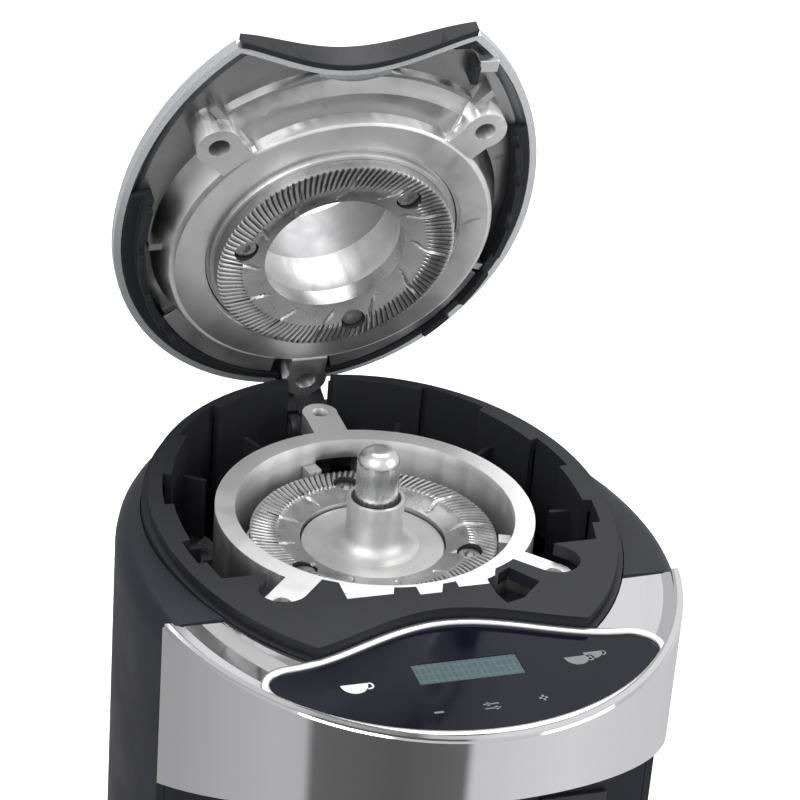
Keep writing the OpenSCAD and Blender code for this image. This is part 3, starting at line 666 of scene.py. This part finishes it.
def ledge(name, first, last):
    """The bare casting's step between the lid's boss and its liner, over part of the back half (degrees)."""
    place = head_matrix(True)
    points = []
    for i in range(LEDGE_STEPS + 1):
        a = math.radians(first + (last - first) * i / LEDGE_STEPS)
        outer = Vector((LEDGE_OVAL[0] * math.cos(a), LEDGE_OVAL[1] * math.sin(a) + LEDGE_OVAL[2]))
        inner = outer.normalized() * LEDGE_INNER
        points += [place @ Vector((*(outer if on_oval else inner), z)) for on_oval, z in LEDGE_SECTION]
    k = len(LEDGE_SECTION)
    faces = grid_faces(LEDGE_STEPS + 1, k) + [tuple(range(k)), tuple(range(LEDGE_STEPS * k, len(points)))]
    obj = mesh_object(name, points, faces, "lid", LEDGE_CAST)
    round_edges(obj, 0.0003, 2)


ledge("lid_ledge_right", 24, 80)
ledge("lid_ledge_left", 100, 147)

# ------------------------------------------------------------------ marks on the touch panel
# Heights of the marks' underside and top over the chamber's top
MARK_LOW, MARK_HIGH = 1.12, 1.24


def flat_shape(name, rings, material):
    """Flat marks: each ring is a closed outline in millimetres round the spindle's axis."""
    place = head_matrix()
    points, faces = [], []
    for ring in rings:
        n, first = len(ring), len(points)
        points += [place @ Vector((x, y, z)) for z in (MARK_HIGH, MARK_LOW) for x, y in ring]
        faces.append(tuple(range(first, first + n)))
        faces.append(tuple(range(first + 2 * n - 1, first + n - 1, -1)))
        faces += [tuple(first + i for i in f) for f in grid_faces(2, n)]
    return mesh_object(name, points, faces, BODY_OF["panel_symbols"], material)


def cup_mark(cx, cy, k):
    """A cup seen from the side: its bowl and handle."""
    bowl = arc(cx, cy + 2 * k, 5 * k, 180, 360, 20, 5.6 * k)
    hx, hy = cx + 4.9 * k, cy + 0.2 * k
    return [bowl, arc(hx, hy, 2 * k, 80, -110) + arc(hx, hy, 1.3 * k, -110, 80)]


def bar(cx, cy, w, h):
    return [(cx - w / 2, cy - h / 2), (cx + w / 2, cy - h / 2),
            (cx + w / 2, cy + h / 2), (cx - w / 2, cy + h / 2)]


def slider_mark(cx, cy):
    """The settings key's mark: two rails with a knob each."""
    return [bar(cx, cy + 1.1, 5, 0.5), bar(cx - 1, cy + 1.1, 0.9, 1.7), bar(cx, cy - 1.1, 5, 0.5),
            bar(cx + 1.2, cy - 1.1, 0.9, 1.7)]


MINUS = [bar(-16, -118, 3, 0.8)]
PLUS = [bar(17.7, -117, 2.8, 0.8), bar(17.7, -117, 0.8, 2.8)]
one_cup = flat_shape("mark_one_cup", cup_mark(-37, -100.6, 0.86), PRINT_LIT)
flat_shape("mark_two_cups", cup_mark(35.2, -99.4, 0.8) + cup_mark(41, -97.6, 0.62), PRINT_DIM)
flat_shape("mark_keys", MINUS + PLUS + slider_mark(0.8, -118), PRINT_DIM)
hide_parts("panel_symbols")


# ------------------------------------------------------------------ studio
def studio_floor():
    bpy.ops.mesh.primitive_plane_add(size=30, location=(0, 0, 0))
    floor = bpy.context.object
    floor.name = "studio_floor"
    n = Nodes("studio_floor")
    n.set(Base_Color=(0.93, 0.94, 0.935), Roughness=0.8, Specular_IOR_Level=0.1,
          Emission_Color=(0.98, 1.0, 0.99), Emission_Strength=0.34)
    floor.data.materials.append(n.mat)
    floor.visible_glossy = False


def greys(stops):
    """Very slightly cool greys for a ramp."""
    return [(pos, (v, v, v * 1.01)) for pos, v in stops]


def studio_walls():
    """Walls of uneven brightness for the chrome to reflect; the camera sees plain white past the floor."""
    world = bpy.data.worlds.new("studio")
    bpy.context.scene.world = world
    world.use_nodes = True
    t = Tree(world.node_tree)
    x, y, z = t.split(t.add("ShaderNodeTexCoord").outputs["Generated"])
    # Round the horizon: 0 is straight behind, 0.5 straight in front, 0.75 the right-hand side
    way = t.math("MULTIPLY_ADD", t.math("ARCTAN2", x, t.math("MULTIPLY", y, -1)), 0.5 / math.pi, 0.5)
    below = t.ramp(way, greys([(0, 0.5), (0.13, 0.46), (0.27, 0.62), (0.305, 0.60), (0.315, 0.17),
                               (0.42, 0.13), (0.505, 0.18), (0.517, 0.80), (0.66, 0.92), (0.85, 0.78),
                               (1, 0.5)]))
    above = t.ramp(way, greys([(0, 0.6), (0.12, 0.5), (0.25, 0.9), (0.4, 1.0), (0.6, 1.0), (0.75, 0.9),
                               (0.88, 1.0), (0.9395, 1.0), (0.9415, 0.62), (1, 0.7)]))
    mix = t.add("ShaderNodeMix")
    mix.data_type = "RGBA"
    t.link(t.ramp(t.math("MULTIPLY_ADD", z, 0.5, 0.5), greys([(0.40, 0), (0.52, 1)])), mix.inputs[0])
    t.link(below, mix.inputs[6])
    t.link(above, mix.inputs[7])
    walls, white = t.add("ShaderNodeBackground"), t.add("ShaderNodeBackground")
    t.link(mix.outputs[2], walls.inputs[0])
    walls.inputs[1].default_value = 0.85
    white.inputs[0].default_value = (1, 1, 1, 1)
    seen = t.add("ShaderNodeMixShader")
    t.link(t.add("ShaderNodeLightPath").outputs["Is Camera Ray"], seen.inputs[0])
    t.link(walls.outputs[0], seen.inputs[1])
    t.link(white.outputs[0], seen.inputs[2])
    t.link(seen.outputs[0], t.add("ShaderNodeOutputWorld").inputs[0])


def lamp(name, place, size, power):
    """A soft lamp aimed at the chamber."""
    data = bpy.data.lights.new(name, "AREA")
    data.shape = "RECTANGLE"
    data.size, data.size_y = size
    data.energy = power
    obj = bpy.data.objects.new(name, data)
    bpy.context.scene.collection.objects.link(obj)
    obj.location = place
    obj.rotation_euler = (RING - Vector(place)).to_track_quat("-Z", "Y").to_euler()


bpy.context.scene.view_settings.view_transform = "Standard"
studio_floor()
studio_walls()
lamp("key", (-1.3, -1.0, 1.9), (1.3, 1.3), 26)
lamp("fill", (1.6, -0.9, 1.3), (1.3, 1.3), 15)
lamp("top", (0.2, 0.9, 1.9), (1.4, 0.8), 22)
